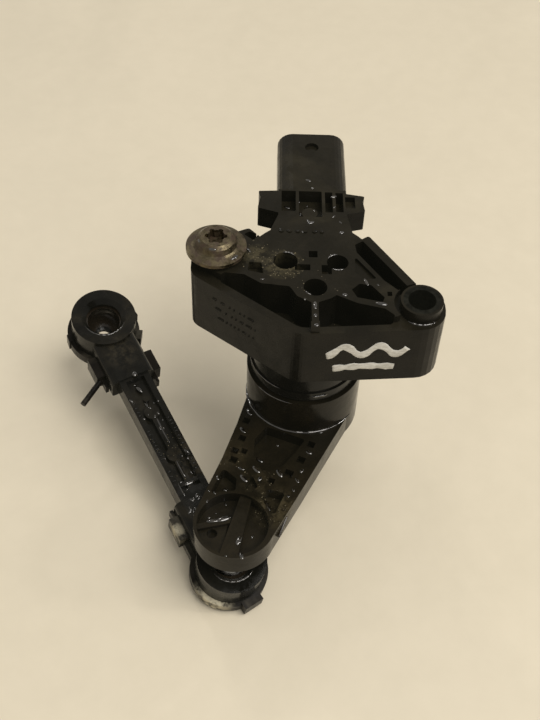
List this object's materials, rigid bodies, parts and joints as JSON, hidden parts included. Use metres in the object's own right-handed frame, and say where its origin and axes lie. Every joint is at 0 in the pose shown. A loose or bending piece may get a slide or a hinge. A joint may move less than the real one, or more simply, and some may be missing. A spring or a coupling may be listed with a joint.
{
  "type": "suspension level sensor with lever and link rod",
  "caption": "Rotary level sensor with two mounting lugs, a side connector, a lever on its shaft and a link rod on a ball stud, with a ball socket at each end.",
  "frame": {"origin": "on the shaft axis, in the plane of the lugs' lower faces, which bolt to the bracket", "axes": "+Z along the shaft, away from the lever; +Y from the shaft towards the open end of the connector; +X towards the right-hand lug"},
  "size_m": [0.0982, 0.1052, 0.0777],
  "materials": {
    "housing_plastic": "moulded glass-filled plastic, weathered, with oily patches",
    "cover_plastic": "moulded plastic, oily",
    "arm_plastic": "moulded plastic, scuffed and dusty",
    "rod_plastic": "moulded plastic, slightly shiny",
    "clip_plastic": "worn moulded plastic",
    "liner_plastic": "greasy bearing plastic",
    "bolt_steel": "yellow-passivated steel with rust",
    "sleeve_steel": "dull steel",
    "ball_steel": "zinc-plated steel",
    "shaft_steel": "ground steel",
    "bush_bronze": "sintered bronze",
    "seal_rubber": "black rubber",
    "board_laminate": "solder mask over laminate",
    "copper": "bare copper",
    "component_black": "moulded packages",
    "terminal_tin": "tin-plated brass",
    "carrier_plastic": "natural plastic"
  },
  "bodies": {
    "sensor": {"housing": "housing_plastic", "bottom_cover": "cover_plastic", "lug_sleeve_left": "sleeve_steel", "lug_sleeve_right": "sleeve_steel", "mounting_bolt": "bolt_steel", "circuit_board": "board_laminate", "stator_coil": "copper", "board_components": "component_black", "terminal_pins": "terminal_tin", "shaft_bush": "bush_bronze", "shaft_seal": "seal_rubber"},
    "lever": {"shaft": "shaft_steel", "retaining_clip": "shaft_steel", "rotor_carrier": "carrier_plastic", "rotor_loop": "copper", "lever_arm": "arm_plastic", "hub_insert": "sleeve_steel", "hub_nut": "ball_steel", "ball_stud": "ball_steel"},
    "near_liner": {"near_socket_liner": "liner_plastic"},
    "link": {"link_rod": "rod_plastic", "near_socket_clip": "clip_plastic", "far_socket_clip": "clip_plastic", "far_socket_liner": "liner_plastic"}
  },
  "joints": [
    {"name": "lever_turn", "type": "hinge", "parent": "sensor", "child": "lever", "pos_m": [0, 0, 0], "axis": [0, 0, 1], "range_deg": [-40, 40]},
    {"name": "link_swing", "type": "hinge", "parent": "lever", "child": "near_liner", "pos_m": [-0.01799, -0.04342, -0.0455], "axis": [0, 0, 1], "range_deg": [-20, 275]},
    {"name": "link_tilt", "type": "hinge", "parent": "near_liner", "child": "link", "pos_m": [-0.01799, -0.04342, -0.0455], "axis": [0.8678, 0.497, 0], "range_deg": [-32, 3]}
  ]
}
